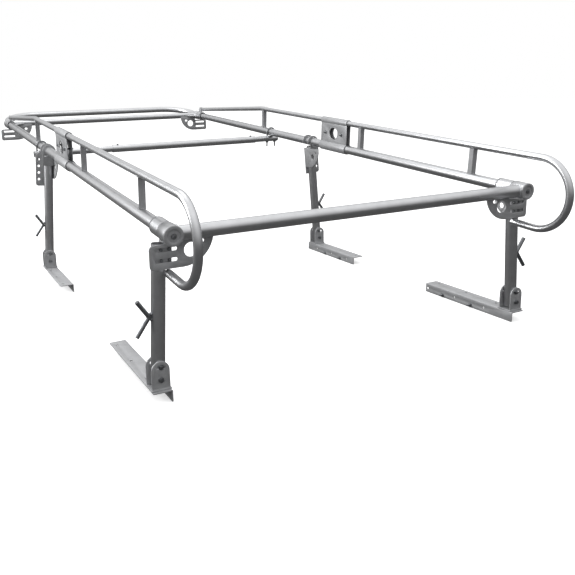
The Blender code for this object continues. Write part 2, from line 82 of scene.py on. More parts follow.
def add_node(tree, kind, settings=(), **links):
    """Add a shader node, set its values, and link its named inputs."""
    made = tree.nodes.new(kind)
    for key, value in dict(settings).items():
        if hasattr(made, key):
            setattr(made, key, value)
        else:
            made.inputs[key].default_value = value
    for key, source in links.items():
        tree.links.new(source, made.inputs[key.replace("_", " ")])
    return made


# Matt white paint. It lights the undersides of the rack only weakly, as a small white card would.
floor_paint = bpy.data.materials.new("matt_studio_floor_paint")
floor_paint.use_nodes = True
paint = floor_paint.node_tree
paint_ray = add_node(paint, "ShaderNodeLightPath")
paint_tone = add_node(
    paint, "ShaderNodeMix", {"data_type": "RGBA"}, Factor=paint_ray.outputs["Is Camera Ray"]
)
paint_tone.inputs[6].default_value = linear("#555555")
paint_tone.inputs[7].default_value = linear("#fafafa")
paint_shader = paint.nodes["Principled BSDF"]
paint.links.new(paint_tone.outputs[2], paint_shader.inputs["Base Color"])
paint_shader.inputs["Roughness"].default_value = 0.95
paint_shader.inputs["Specular IOR Level"].default_value = 0.0
paint_shader.inputs["Emission Color"].default_value = linear("#ffffff")
paint.links.new(
    add_node(
        paint, "ShaderNodeMapRange", {"To Max": 0.45}, Value=paint_ray.outputs["Is Camera Ray"]
    ).outputs["Result"],
    paint_shader.inputs["Emission Strength"],
)
floor_mesh.materials.append(floor_paint)

bpy.context.scene.view_settings.view_transform = "Standard"
world = bpy.data.worlds.new("studio")
bpy.context.scene.world = world
world.use_nodes = True
sky = world.node_tree
# The sweep looks white, and as a light it falls off towards the horizon, which models the metal.
sky_coords = add_node(sky, "ShaderNodeTexCoord")
sky_axes = add_node(sky, "ShaderNodeSeparateXYZ", {}, Vector=sky_coords.outputs["Generated"])
sky_fall = add_node(
    sky, "ShaderNodeMapRange",
    {"From Min": -0.05, "From Max": 0.80, "To Min": 0.20, "To Max": 1.15},
    Value=sky_axes.outputs["Z"],
)
sky_ray = add_node(sky, "ShaderNodeLightPath")
sky_seen = add_node(
    sky, "ShaderNodeMix", {"data_type": "FLOAT", "B": 1.0},
    Factor=sky_ray.outputs["Is Camera Ray"], A=sky_fall.outputs["Result"],
)
sky.links.new(sky_seen.outputs["Result"], sky.nodes["Background"].inputs["Strength"])
sky.nodes["Background"].inputs["Color"].default_value = linear("#ffffff")


def soft_light(name, place, target, size, power):
    """A large area light aimed at a point."""
    lamp = bpy.data.lights.new(name, "AREA")
    lamp.size = size
    lamp.energy = power
    holder = bpy.data.objects.new(name, lamp)
    bpy.context.scene.collection.objects.link(holder)
    holder.location = place
    holder.rotation_euler = (Vector(target) - Vector(place)).to_track_quat("-Z", "Y").to_euler()


soft_light("overhead_softbox", (-0.6, 0.6, 4.2), (0, 0, 0.7), 2.6, 24)
soft_light("left_softbox", (-4.6, 1.6, 2.4), (0, 0.5, 0.5), 2.6, 190)


# ---- Crossbars ---------------------------------------------------------------------------------
# Two drawn aluminium tubes tie the side rails together. Their ends are coped to the round corner
# sleeves and welded, and the drawing dies leave faint lines along the tube.
CROSSBAR_RADIUS = 0.025
FRONT_BAR_RADIUS = 0.0225
FRONT_BAR_Y = 3.450
RAIL_X = 0.780
SLEEVE_RADIUS = 0.0325
BAND_RADIUS = 0.0345
TUBE_SIDES = 40


def metal_finish(name, light, dark, roughness, grain, bump, streak=1.0, metallic=1.0):
    """A satin metal or coating: two tones in a soft cloud, with grain in its gloss and its relief.

    grain is the size of one grain in metres, and streak stretches it along the piece.
    """
    made = bpy.data.materials.new(name)
    made.use_nodes = True
    tree = made.node_tree
    shader = tree.nodes["Principled BSDF"]
    shader.inputs["Metallic"].default_value = metallic
    coords = add_node(tree, "ShaderNodeTexCoord")
    aligned = add_node(
        tree, "ShaderNodeMapping", {"Scale": (1, 1 / streak, 1)}, Vector=coords.outputs["Object"]
    )
    cloud = add_node(
        tree, "ShaderNodeTexNoise", {"Scale": 1 / 0.045, "Detail": 5.0, "Roughness": 0.6},
        Vector=coords.outputs["Object"],
    )
    tone = add_node(tree, "ShaderNodeValToRGB", {}, Fac=cloud.outputs["Fac"])
    tone.color_ramp.elements[0].position = 0.30
    tone.color_ramp.elements[0].color = linear(dark)
    tone.color_ramp.elements[1].position = 0.70
    tone.color_ramp.elements[1].color = linear(light)
    tree.links.new(tone.outputs["Color"], shader.inputs["Base Color"])
    grit = add_node(
        tree, "ShaderNodeTexNoise", {"Scale": 1 / grain, "Detail": 3.0},
        Vector=aligned.outputs["Vector"],
    )
    gloss = add_node(
        tree, "ShaderNodeMapRange", {"To Min": roughness - 0.07, "To Max": roughness + 0.07},
        Value=grit.outputs["Fac"],
    )
    tree.links.new(gloss.outputs["Result"], shader.inputs["Roughness"])
    relief = add_node(
        tree, "ShaderNodeBump", {"Strength": bump, "Distance": 0.0004}, Height=grit.outputs["Fac"]
    )
    tree.links.new(relief.outputs["Normal"], shader.inputs["Normal"])
    return made


# Drawn 6061 aluminium, bead blasted and clear anodised: a soft silver grey with a broad highlight.
# The real blast texture is about 0.1 mm and is drawn at 1.5 mm so that it shows.
anodised_tube = metal_finish(
    "satin_anodised_drawn_aluminium", "#d6d7d9", "#cbccce", 0.34, 0.0015, 0.10, streak=6.0
)


def to_piece(name, bm, finish, body, stands_for=(), crease=35):
    """Write a bmesh to an object at the origin, tie it to its body, and hide the CAD nodes it
    stands for.
    """
    mesh = bpy.data.meshes.new(name)
    bm.to_mesh(mesh)
    bm.free()
    mesh.materials.append(finish)
    mesh.shade_smooth()
    mesh.set_sharp_from_angle(angle=radians(crease))
    piece = bpy.data.objects.new(name, mesh)
    bpy.context.scene.collection.objects.link(piece)
    if stands_for:
        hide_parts(*stands_for)
    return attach(piece, body)


def sweep(bm, path, radius, sides=TUBE_SIDES, capped=True, closed=False):
    """Run a ring of vertices along a path, and return the rings it leaves."""
    points = [Vector(p) for p in path]
    count = len(points)
    rings = []
    heading = Vector((0, 0, 1))
    turn = Matrix.Identity(3)
    for i, point in enumerate(points):
        if closed:
            ahead = points[(i + 1) % count] - points[i - 1]
        else:
            ahead = points[min(i + 1, count - 1)] - points[max(i - 1, 0)]
        ahead.normalize()
        turn = heading.rotation_difference(ahead).to_matrix() @ turn
        heading = ahead
        size = radius[i] if isinstance(radius, (list, tuple)) else radius
        place = Matrix.Translation(point) @ turn.to_4x4()
        made = bmesh.ops.create_circle(bm, segments=sides, radius=size, matrix=place)
        ring = made["verts"]
        rings.append(list({e for v in ring for e in v.link_edges}))
    pairs = list(zip(rings, rings[1:]))
    if closed:
        pairs.append((rings[-1], rings[0]))
    for one, other in pairs:
        bmesh.ops.bridge_loops(bm, edges=one + other)
    if capped and not closed:
        for ring in (rings[0], rings[-1]):
            bmesh.ops.edgeloop_fill(bm, edges=ring)
    return rings


def hollow_ends(bm, depth=0.030, wall=0.003):
    """Turn each flat cap into a tube mouth: a rim, then a bore that runs in and closes."""
    bmesh.ops.recalc_face_normals(bm, faces=bm.faces)
    caps = [f for f in bm.faces if len(f.verts) > 8]
    for cap in caps:
        normal = cap.normal.copy()
        bmesh.ops.inset_region(bm, faces=[cap], thickness=wall, use_even_offset=True)
        moved = bmesh.ops.extrude_discrete_faces(bm, faces=[cap])["faces"]
        bmesh.ops.translate(bm, verts=moved[0].verts, vec=-normal * depth)


def weld_ring(bm, points, size=0.0032, step=0.0045):
    """A welded bead along a closed ring of points, with a ripple every few millimetres."""
    loop = [Vector(p) for p in points]
    swell = [size * (1.0 + 0.22 * (i % 2)) for i in range(len(loop))]
    sweep(bm, loop, swell, sides=8, closed=True)


def saddle_ring(centre, axis, big, small, steps=56):
    """Points where a tube of radius small, along X, meets a tube of radius big, along Y.

    axis is 1 or -1: the way the small tube leaves the big one.
    """
    ring = []
    for i in range(steps):
        turn = 2 * pi * i / steps
        up, along = small * sin(turn), small * cos(turn)
        out = sqrt(max(big**2 - up**2, 0.0))
        ring.append(Vector(centre) + Vector((axis * out, along, up)))
    return ring


for name, bar_y, radius in (
    ("rear_crossbar", 0.0, CROSSBAR_RADIUS),
    ("front_crossbar", FRONT_BAR_Y, FRONT_BAR_RADIUS),
):
    bm = bmesh.new()
    half = RAIL_X - SLEEVE_RADIUS + 0.006
    sweep(bm, [(-half, bar_y, 0), (half, bar_y, 0)], radius)
    bmesh.ops.transform(bm, matrix=RACK, verts=bm.verts)
    to_piece(name + "_tube", bm, anodised_tube, "rack", [name])

    bm = bmesh.new()
    for side in (-1, 1):
        weld_ring(bm, saddle_ring((side * RAIL_X, bar_y, 0), -side, BAND_RADIUS, radius + 0.0008))
    bmesh.ops.transform(bm, matrix=RACK, verts=bm.verts)
    to_piece(name + "_weld_beads", bm, anodised_tube, "rack")


# ---- Corner sleeves ----------------------------------------------------------------------------
# Four short, thick-walled sleeves that take the rail ends. Each has a wider band where its crossbar
# is welded on, a groove beside the band and another at the mouth, and a small web in the corner.
SLEEVE_BACK = 0.030
SLEEVE_REACH = 0.115
RAIL_RADIUS = 0.024


def arc(centre, radius, start, end, steps):
    """Points on an arc in a plane, from start to end in radians."""
    turns = [start + (end - start) * i / steps for i in range(steps + 1)]
    return [(centre[0] + radius * cos(t), centre[1] + radius * sin(t)) for t in turns]


def turned(bm, profile, place, sides=TUBE_SIDES):
    """Spin a profile of (radius, height) points round the local Z axis."""
    fresh = bmesh.new()
    verts = [fresh.verts.new((r, 0, h)) for r, h in profile]
    edges = [fresh.edges.new(pair) for pair in zip(verts, verts[1:])]
    bmesh.ops.spin(
        fresh, geom=verts + edges, cent=(0, 0, 0), axis=(0, 0, 1), angle=2 * pi, steps=sides,
        use_merge=True,
    )
    bmesh.ops.remove_doubles(fresh, verts=fresh.verts, dist=1e-6)
    bmesh.ops.recalc_face_normals(fresh, faces=fresh.faces)
    bmesh.ops.transform(fresh, matrix=place, verts=fresh.verts)
    join(bm, fresh)


def join(bm, fresh):
    """Move one bmesh into another."""
    scratch = bpy.data.meshes.new("scratch")
    fresh.to_mesh(scratch)
    fresh.free()
    bm.from_mesh(scratch)
    bpy.data.meshes.remove(scratch)


def plate(bm, outline, holes, thick, place, edge=0.0007):
    """A flat plate with holes, centred on its local XY plane, its cut edges slightly rounded."""
    fresh = bmesh.new()
    for loop in [outline, *holes]:
        verts = [fresh.verts.new((u, v, -thick / 2)) for u, v in loop]
        for one, other in zip(verts, verts[1:] + verts[:1]):
            fresh.edges.new((one, other))
    bmesh.ops.triangle_fill(fresh, edges=fresh.edges, use_beauty=True, use_dissolve=False)
    bmesh.ops.dissolve_limit(
        fresh, angle_limit=radians(0.5), verts=fresh.verts, edges=fresh.edges, delimit={"NORMAL"}
    )
    raised = bmesh.ops.extrude_face_region(fresh, geom=fresh.faces[:])["geom"]
    raised = [g for g in raised if isinstance(g, bmesh.types.BMVert)]
    bmesh.ops.translate(fresh, verts=raised, vec=(0, 0, thick))
    bmesh.ops.recalc_face_normals(fresh, faces=fresh.faces)
    if edge:
        rim = [
            e for e in fresh.edges
            if len(e.link_faces) == 2 and abs(e.verts[0].co.z - e.verts[1].co.z) < 1e-6
            and radians(60) < e.calc_face_angle(0.0) < radians(120)
        ]
        bmesh.ops.bevel(
            fresh, geom=rim, offset=edge, segments=2, profile=0.5, affect="EDGES", material=-1,
            clamp_overlap=True,
        )
    bmesh.ops.transform(fresh, matrix=place, verts=fresh.verts)
    join(bm, fresh)


def at(x, y, z, turn=None):
    """A move to a point, after a turn if one is given."""
    place = Matrix.Translation((x, y, z))
    return place @ turn if turn is not None else place


UPRIGHT_XZ = Matrix.Rotation(pi / 2, 4, "X")
UPRIGHT_YZ = Matrix.Rotation(pi / 2, 4, "Z") @ Matrix.Rotation(pi / 2, 4, "X")
ALONG_Y = Matrix.Rotation(-pi / 2, 4, "X")
ALONG_X = Matrix.Rotation(pi / 2, 4, "Y")
SIDES = {"left": -1, "right": 1}

for end, bar_y, ahead, radius in (
    ("rear", 0.0, 1, CROSSBAR_RADIUS),
    ("front", FRONT_BAR_Y, -1, FRONT_BAR_RADIUS),
):
    for hand, side in SIDES.items():
        bore, back_edge = RAIL_RADIUS + 0.0005, BAND_RADIUS - 0.0012
        mouth_groove, band_groove = SLEEVE_RADIUS - 0.0045, SLEEVE_RADIUS - 0.0040
        bm = bmesh.new()
        profile = [
            (bore, SLEEVE_REACH - 0.030), (bore, SLEEVE_REACH - 0.006),
            (bore + 0.0024, SLEEVE_REACH), (SLEEVE_RADIUS - 0.0004, SLEEVE_REACH),
            (SLEEVE_RADIUS, SLEEVE_REACH - 0.0006), (SLEEVE_RADIUS, SLEEVE_REACH - 0.0040),
            (mouth_groove, SLEEVE_REACH - 0.0044), (mouth_groove, SLEEVE_REACH - 0.0080),
            (SLEEVE_RADIUS, SLEEVE_REACH - 0.0084), (SLEEVE_RADIUS, 0.0380),
            (band_groove, 0.0376), (band_groove, 0.0346), (SLEEVE_RADIUS, 0.0342),
            (SLEEVE_RADIUS, 0.0305), (BAND_RADIUS, 0.0270), (BAND_RADIUS, -0.0270),
            (back_edge, -0.0282), (back_edge, -SLEEVE_BACK), (bore, -SLEEVE_BACK), (bore, -0.012),
        ]
        turned(bm, profile, at(side * RAIL_X, bar_y, 0, ALONG_Y if ahead > 0 else UPRIGHT_XZ))
        u = SLEEVE_RADIUS - 0.004
        near = radius - 0.002
        web = [(-u, near), (-u, 0.102), (-u - 0.006, 0.105), (-0.112, near + 0.007), (-0.112, near)]
        if side * ahead > 0:
            outline = [(side * a, ahead * b) for a, b in web]
        else:
            outline = [(side * a, ahead * b) for a, b in reversed(web)]
        plate(bm, outline, [], 0.005, at(side * RAIL_X, bar_y, 0), 0.0006)
        web_x = side * (RAIL_X - SLEEVE_RADIUS - 0.0004)
        out = [bar_y + ahead * (near + 0.004 + 0.0035 * i) for i in range(20)]
        back = [bar_y + ahead * (near + 0.0705 - 0.0035 * i) for i in range(20)]
        bead = [(web_x, y, 0.0030) for y in out] + [(web_x, y, -0.0030) for y in back]
        weld_ring(bm, bead, 0.0020)
        bmesh.ops.transform(bm, matrix=RACK, verts=bm.verts)
        name = f"corner_sleeve_{end}_{hand}"
        to_piece(name + "_machined", bm, anodised_tube, "rack", [name])


# ---- Rear end caps -----------------------------------------------------------------------------
# A moulded plug closes the back of each rear sleeve. It is drawn tight by one hex bolt with a
# washer, in the middle of a shallow dish.
moulded_cap = metal_finish(
    "moulded_grey_nylon", "#a2a3a5", "#9a9b9d", 0.55, 0.0012, 0.12, metallic=0.0
)


def hex_head(bm, place, across=0.016, height=0.007, washer=0.0105, thread=0.0):
    """A washer and a hex head with a chamfered crown, standing on the local XY plane."""
    disc = [(0, 0), (washer, 0), (washer, 0.0012), (washer - 0.0004, 0.0016), (0, 0.0016)]
    turned(bm, disc, place, 24)
    fresh = bmesh.new()
    made = bmesh.ops.create_cone(
        fresh, cap_ends=True, cap_tris=False, segments=6, radius1=across / sqrt(3),
        radius2=across / sqrt(3), depth=height,
    )
    bmesh.ops.translate(fresh, verts=made["verts"], vec=(0, 0, height / 2 + 0.0014))
    top = [e for e in fresh.edges if min(v.co.z for v in e.verts) > height]
    bmesh.ops.bevel(
        fresh, geom=top, offset=0.0010, segments=2, profile=0.5, affect="EDGES", material=-1,
        clamp_overlap=True,
    )
    bmesh.ops.transform(fresh, matrix=place, verts=fresh.verts)
    join(bm, fresh)
    if thread:
        pitch = 0.0015
        ridges = [(0, 0)]
        count = int(thread / pitch)
        for i in range(count):
            ridges += [(across * 0.27, pitch * i), (across * 0.31, pitch * i + pitch / 2)]
        ridges += [(across * 0.25, pitch * count), (0, pitch * count)]
        turned(bm, ridges, place @ at(0, 0, height + 0.001), 16)


for hand, side in SIDES.items():
    bm = bmesh.new()
    face_back = at(side * RAIL_X, -SLEEVE_BACK - 0.0002, 0, UPRIGHT_XZ)
    profile = [
        (0, 0.0016), (0.0205, 0.0016), (0.0235, 0.0044), (0.0262, 0.0052), (0.0318, 0.0050),
        (0.0342, 0.0036), (0.0347, 0.0018), (0.0347, 0.0002), (0.0236, 0.0002), (0.0236, -0.0110),
        (0, -0.0110),
    ]
    turned(bm, profile, face_back)
    bmesh.ops.transform(bm, matrix=RACK, verts=bm.verts)
    name = f"rear_end_cap_{hand}"
    to_piece(name + "_plug", bm, moulded_cap, "rack", [name])


# Zinc-plated mild steel: a cool, slightly cloudy grey with fine plating grain.
zinc_plate = metal_finish("zinc_plated_steel", "#a0a2a4", "#84868a", 0.34, 0.0009, 0.10)

for hand, side in SIDES.items():
    bm = bmesh.new()
    hex_head(bm, at(side * RAIL_X, -SLEEVE_BACK - 0.0017, 0, UPRIGHT_XZ), 0.014, 0.0030, 0.0100)
    bmesh.ops.transform(bm, matrix=RACK, verts=bm.verts)
    to_piece(f"rear_end_cap_{hand}_bolt", bm, zinc_plate, "rack")


# ---- Corner brackets ---------------------------------------------------------------------------
# Laser-cut 6 mm steel plates welded upright on the inner sides of the crossbar ends. Two long
# slots let the legs be set to the width of the bed, and the round eye takes a strap hook.

# Grey powder coat over blasted steel: an even, slightly orange-peeled grey. The real peel is about
# 1 mm and is drawn at 2 mm so that it shows.
coated_plate = metal_finish(
    "powder_coated_steel_plate", "#b9babc", "#a9aaac", 0.42, 0.0020, 0.16, metallic=0.35
)
PLATE = 0.006
BRACKET_SET = PLATE / 2 + 0.0005
REAR_LEG_Y = 0.0635


def slot(centre, length, height, steps=8):
    """A horizontal slot with round ends."""
    reach = (length - height) / 2
    right = arc((centre[0] + reach, centre[1]), height / 2, -pi / 2, pi / 2, steps)
    left = arc((centre[0] - reach, centre[1]), height / 2, pi / 2, 3 * pi / 2, steps)
    return right + left


def ring(centre, radius, tall=None, steps=28):
    """A round or oval hole."""
    tall = tall or radius
    return [
        (centre[0] + radius * cos(2 * pi * i / steps), centre[1] + tall * sin(2 * pi * i / steps))
        for i in range(steps)
    ]


def weld_line(bm, points, size, swell=0.0005):
    """A welded bead along an open line of points, with the same ripple."""
    sweep(bm, points, [size + swell * (i % 2) for i in range(len(points))], sides=8)


for end, bar_y, inward, bar_radius in (
    ("rear", 0.0, 1, CROSSBAR_RADIUS),
    ("front", FRONT_BAR_Y, -1, FRONT_BAR_RADIUS),
):
    for hand, side in SIDES.items():
        top, low, outer, inner = -0.007, -0.122, 0.066, -0.165
        shelf, corner = -(BAND_RADIUS + 0.0045), 0.014
        outline = [(inner, top), (-0.038, top), (-0.036, shelf), (outer - corner, shelf)]
        outline += arc((outer - corner, shelf - corner), corner, pi / 2, 0, 8)[1:]
        outline += arc((outer - corner, low + corner), corner, 0, -pi / 2, 8)
        sweep_radius = top - low
        outline += arc((inner + sweep_radius, top), sweep_radius, -pi / 2, -pi, 20)[:-1]
        holes = [
            slot((0.008, -0.056), 0.080, 0.013), slot((0.008, -0.092), 0.080, 0.013),
            ring((-0.080, -0.066), 0.025), ring((-0.118, -0.041), 0.011, 0.008),
        ]
        mirror = Matrix.Scale(side, 4, (1, 0, 0))
        shift = Vector((0, inward * (bar_radius + BRACKET_SET), 0))
        place = Matrix.Translation(RACK @ Vector((side * RAIL_X, bar_y, 0)) + shift)
        bm = bmesh.new()
        plate(bm, outline, holes, PLATE, place @ UPRIGHT_XZ @ mirror, 0.0009)
        bead = [
            place @ Vector((side * (inner + 0.004 + 0.0042 * i), -inward * 0.0042, top - 0.006))
            for i in range(29)
        ]
        weld_line(bm, bead, 0.0030, 0.0006)
        bmesh.ops.recalc_face_normals(bm, faces=bm.faces)
        name = f"corner_bracket_{end}_{hand}"
        to_piece(name + "_plate", bm, coated_plate, "rack", [name])


# ---- Side rails --------------------------------------------------------------------------------
# Each side rail is two lengths of 48 mm tube that butt inside the joiner, so that the rack can be
# shipped in a short box. Their ends slide into the corner sleeves.
JOINER_Y = {"left": 1.520, "right": 1.370}
BUTT_GAP = 0.0004

for hand, side in SIDES.items():
    split = JOINER_Y[hand]
    spans = {"rear": (-0.010, split - BUTT_GAP), "front": (split + BUTT_GAP, FRONT_BAR_Y + 0.010)}
    for end, (start, stop) in spans.items():
        bm = bmesh.new()
        sweep(bm, [(side * RAIL_X, start, 0), (side * RAIL_X, stop, 0)], RAIL_RADIUS)
        bmesh.ops.transform(bm, matrix=RACK, verts=bm.verts)
        name = f"side_rail_{end}_{hand}"
        to_piece(name + "_tube", bm, anodised_tube, "rack", [name])


# ---- Upper rails -------------------------------------------------------------------------------
# A 30 mm tube above each side rail. At the back it is bent into a round hand loop that comes back
# towards the leg. At the front it slopes down to an end that is pressed flat and bolted to a lug.
UPPER_RADIUS = 0.015
UPPER_HEIGHT = 0.149
LOOP_Y = -0.084
LOOP_Z = 0.0035
LOOP_RADIUS = UPPER_HEIGHT - LOOP_Z
LOOP_END_Y = 0.0265
UPPER_BEND_Y = 2.285
UPPER_TIP = (3.395, 0.050)


def soft_corners(path, radius, steps=12):
    """A path of straight runs with its inner corners rounded."""
    points = [Vector(p) for p in path]
    smooth = [points[0]]
    for before, corner, after in zip(points, points[1:], points[2:]):
        back, ahead = (before - corner).normalized(), (after - corner).normalized()
        half = back.angle(ahead) / 2
        centre = corner + (back + ahead).normalized() * radius / sin(half)
        start = corner + back * radius / tan(half) - centre
        end = corner + ahead * radius / tan(half) - centre
        swing = start.angle(end)
        for i in range(steps + 1):
            share = i / steps
            mix = start * sin((1 - share) * swing) + end * sin(share * swing)
            smooth.append(centre + mix / sin(swing))
    return smooth + [points[-1]]


def press_flat(bm, tip, inward, length, thin):
    """Press the end of a tube flat in X over a length, blending back to round behind it."""
    for v in bm.verts:
        run = (v.co - tip).dot(inward)
        if run > length * 1.8:
            continue
        share = min(1.0, max(0.0, (length * 1.8 - run) / (length * 0.8)))
        share = share * share * (3 - 2 * share)
        middle = tip + inward * run
        v.co.x = middle.x + (v.co.x - middle.x) * (1 - share * (1 - thin))
        tall = (v.co - middle) - Vector((v.co.x - middle.x, 0, 0))
        v.co += tall * 0.22 * share


for hand, side in SIDES.items():
    x, split = side * RAIL_X, JOINER_Y[hand]
    low = LOOP_Z - LOOP_RADIUS
    loop = arc((LOOP_Y, LOOP_Z), LOOP_RADIUS, pi / 2, 3 * pi / 2, 44)
    path = [Vector((x, split - BUTT_GAP, UPPER_HEIGHT))]
    path += [Vector((x, y, z)) for y, z in loop]
    path += [Vector((x, LOOP_Y + 0.045, low + 0.0005)), Vector((x, LOOP_END_Y, low + 0.001))]
    bm = bmesh.new()
    sweep(bm, path, UPPER_RADIUS, 32)
    bmesh.ops.transform(bm, matrix=RACK, verts=bm.verts)
    name = f"upper_rail_rear_{hand}"
    to_piece(name + "_loop", bm, anodised_tube, "rack", [name])

    tip = Vector((x, *UPPER_TIP))
    runs = [(x, split + BUTT_GAP, UPPER_HEIGHT), (x, UPPER_BEND_Y, UPPER_HEIGHT), tip]
    bent = soft_corners(runs, 0.25)
    inward = (bent[-2] - tip).normalized()
    steps = (0.080, 0.066, 0.052, 0.040, 0.028, 0.014, 0.0)
    bent = bent[:-1] + [tip + inward * step for step in steps]
    bm = bmesh.new()
    sweep(bm, bent, UPPER_RADIUS, 32)
    press_flat(bm, tip, inward, 0.040, 0.26)
    bmesh.ops.transform(bm, matrix=RACK, verts=bm.verts)
    name = f"upper_rail_front_{hand}"
    to_piece(name + "_tube", bm, anodised_tube, "rack", [name])

    # The lug that the flattened front tip is bolted to, welded on top of the side rail.
    bm = bmesh.new()
    crown = arc((0, 0.030), 0.013, 0, pi, 10)[1:-1]
    lug = [(-0.020, 0.0), (0.020, 0.0), (0.016, 0.030)] + crown + [(-0.016, 0.030)]
    lug_y = UPPER_TIP[0] - 0.018
    plate(bm, lug, [], 0.005, at(x - side * 0.0068, lug_y, 0.0225, UPRIGHT_YZ), 0.0007)
    bmesh.ops.transform(bm, matrix=RACK, verts=bm.verts)
    to_piece(f"upper_rail_lug_{hand}", bm, coated_plate, "rack")
    bm = bmesh.new()
    outward = ALONG_X if side > 0 else ALONG_X.inverted()
    hex_head(bm, at(x + side * 0.0036, lug_y, 0.0525, outward), 0.011, 0.005, 0.008)
    bmesh.ops.transform(bm, matrix=RACK, verts=bm.verts)
    to_piece(f"upper_rail_lug_bolt_{hand}", bm, zinc_plate, "rack")


# ---- Struts ------------------------------------------------------------------------------------
# Six short lengths of pressed steel angle, welded upright between each side rail and its upper
# rail.
STRUT_Y = (0.285, 1.120, 2.250)
STRUT_LEG = 0.026
STRUT_WALL = 0.004
STRUT_BITE = 0.0022

for hand, side in SIDES.items():
    for number, y in enumerate(STRUT_Y, 1):
        half = STRUT_LEG / 2
        wall = -half + STRUT_WALL
        section = [
            (-half, -half), (half - 0.0008, -half), (half, -half + 0.0008), (half, wall),
            (wall + 0.002, wall), (wall, wall + 0.002), (wall, half), (-half + 0.0008, half),
            (-half, half - 0.0008),
        ]
        foot, head_z = RAIL_RADIUS - STRUT_BITE, UPPER_HEIGHT - UPPER_RADIUS + STRUT_BITE
        bm = bmesh.new()
        mirror = Matrix.Scale(side, 4, (1, 0, 0))
        strut_place = at(side * RAIL_X, y, (foot + head_z) / 2) @ mirror
        plate(bm, section, [], head_z - foot, strut_place, 0.0)
        seats = ((foot + STRUT_BITE, RAIL_RADIUS, 1), (head_z - STRUT_BITE, UPPER_RADIUS, -1))
        for z, size, lift in seats:
            points = []
            for i in range(36):
                u, v = half * 1.02 * cos(2 * pi * i / 36), half * 1.02 * sin(2 * pi * i / 36)
                sag = size - sqrt(max(size**2 - u**2, 0.0))
                points.append((side * RAIL_X + u, y + v, z - lift * sag))
            weld_ring(bm, points, 0.0019)
        bmesh.ops.recalc_face_normals(bm, faces=bm.faces)
        bmesh.ops.transform(bm, matrix=RACK, verts=bm.verts)
        name = f"strut_{number}_{hand}"
        to_piece(name + "_angle", bm, coated_plate, "rack", [name])


# ---- Rail joiners ------------------------------------------------------------------------------
# Two pressed shells clamp the rail halves end to end. Each has a half-round trough for either rail
# and a flat web between them with a wide flanged window, and two bolts pull the webs together.
JOINER_LENGTH = 0.260
JOINER_WEB = 0.010
JOINER_WALL = 0.004
JOINER_BOLT = 0.080


def trough(bm, radius, start, end, side, centre_z, length, place):
    """A curved strip along Y with a real wall, open towards the rail that it holds."""
    fresh = bmesh.new()
    inner = arc((0, centre_z), radius, start, end, 18)
    outer = arc((0, centre_z), radius + JOINER_WALL, end, start, 18)
    loop = [(side * u, v) for u, v in inner + outer]
    plate(fresh, loop, [], length, UPRIGHT_XZ, 0.0008)
    bmesh.ops.transform(fresh, matrix=place, verts=fresh.verts)
    join(bm, fresh)


for hand, side in SIDES.items():
    for half, face in (("inner", -side), ("outer", side)):
        x, y = side * RAIL_X, JOINER_Y[hand]
        rail, upper = RAIL_RADIUS + 0.001, UPPER_RADIUS + 0.001
        bm = bmesh.new()
        middle = (RAIL_RADIUS + UPPER_HEIGHT - UPPER_RADIUS) / 2
        low = rail * cos(asin(JOINER_WEB / rail)) + 0.0012
        high = UPPER_HEIGHT - upper * cos(asin(JOINER_WEB / upper)) - 0.0012
        hl = JOINER_LENGTH / 2
        web = [(-hl, low), (hl, low), (hl, high), (-hl, high)]
        holes = [ring((0, middle), 0.042, 0.034, 36)]
        holes += [ring((bolt_y, middle), 0.0055) for bolt_y in (-JOINER_BOLT, JOINER_BOLT)]
        web_place = at(x + face * (JOINER_WEB + JOINER_WALL / 2), y, 0, UPRIGHT_YZ)
        plate(bm, web, holes, JOINER_WALL, web_place, 0.0008)
        over, under = pi / 2 - asin(JOINER_WEB / rail), -pi / 2 + asin(JOINER_WEB / upper)
        place = at(x, y, 0)
        trough(bm, rail, radians(-82), over, face, 0, JOINER_LENGTH, place)
        trough(bm, upper, under, radians(82), face, UPPER_HEIGHT, JOINER_LENGTH, place)
        lip = [(x + face * (JOINER_WEB + JOINER_WALL), y + 0.043 * cos(t), middle + 0.035 * sin(t))
               for t in [2 * pi * i / 48 for i in range(48)]]
        sweep(bm, lip, 0.0017, sides=8, closed=True)
        bmesh.ops.transform(bm, matrix=RACK, verts=bm.verts)
        name = f"joiner_{half}_{hand}"
        to_piece(name + "_shell", bm, coated_plate, "rack", [name])
    bm = bmesh.new()
    for shift in (-JOINER_BOLT, JOINER_BOLT):
        out_face = JOINER_WEB + JOINER_WALL
        place = at(x + out_face, y + shift, middle, ALONG_X)
        other = at(x - out_face, y + shift, middle, ALONG_X.inverted())
        hex_head(bm, place if side > 0 else other, 0.013, 0.006, 0.0100)
        hex_head(bm, other if side > 0 else place, 0.013, 0.007, 0.0100, thread=0.006)
        shank = [(0, -out_face), (0.0045, -out_face), (0.0045, out_face), (0, out_face)]
        turned(bm, shank, at(x, y + shift, middle, ALONG_X), 16)
    bmesh.ops.transform(bm, matrix=RACK, verts=bm.verts)
    to_piece(f"joiner_bolts_{hand}", bm, zinc_plate, "rack")


# ---- Front bow ---------------------------------------------------------------------------------
# One bent tube over the cab, ahead of the front crossbar. Its tails slide into the front sleeves.
BOW_RADIUS = 0.0225
BOW_Y = 3.748
BOW_RISE = 0.030
BOW_BEND = 0.240

